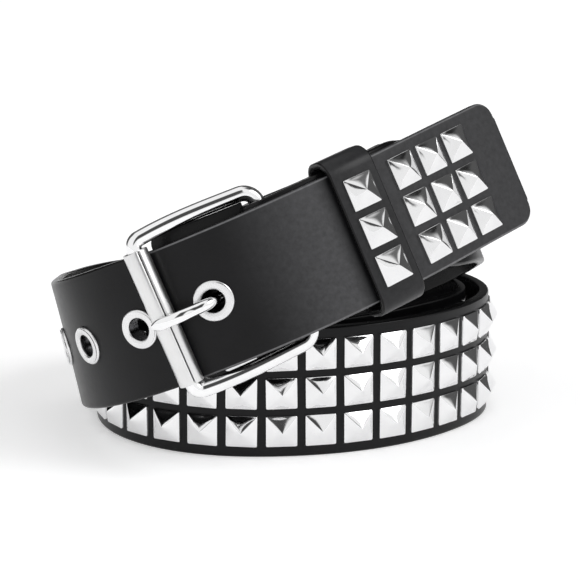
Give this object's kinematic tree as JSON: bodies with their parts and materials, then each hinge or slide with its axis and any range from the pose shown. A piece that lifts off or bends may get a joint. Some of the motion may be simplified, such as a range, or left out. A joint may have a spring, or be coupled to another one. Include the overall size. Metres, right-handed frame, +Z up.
{
  "type": "studded belt",
  "caption": "Coiled, buckled leather belt with rows of pyramid studs, a roller buckle with a single prong, a studded keeper and metal eyelets.",
  "frame": {"origin": "under the middle of the belt's bounding box, on the surface that the coil stands on", "axes": "+Z up, across the coiled strap's width; -Y towards the buckle's side; +X towards the strap's tip"},
  "size_m": [0.149, 0.1572, 0.1041],
  "materials": {
    "black_leather": "satin, finely grained",
    "chrome": "polished",
    "satin_chrome": "satin"
  },
  "bodies": {
    "root": {"buckle_frame": "chrome", "eyelet_1": "chrome", "eyelet_2": "chrome", "eyelet_3": "chrome", "eyelet_4": "chrome", "eyelet_5": "chrome", "fold_rivet_1": "satin_chrome", "fold_rivet_2": "satin_chrome", "keeper": "black_leather", "keeper_stud_1": "chrome", "keeper_stud_2": "chrome", "keeper_stud_3": "chrome", "prong": "chrome", "roller": "satin_chrome", "strap": "black_leather", "tip_stud_11": "chrome", "tip_stud_12": "chrome", "tip_stud_13": "chrome", "tip_stud_21": "chrome", "tip_stud_22": "chrome", "tip_stud_23": "chrome", "tip_stud_31": "chrome", "tip_stud_32": "chrome", "tip_stud_33": "chrome"}
  },
  "joints": []
}
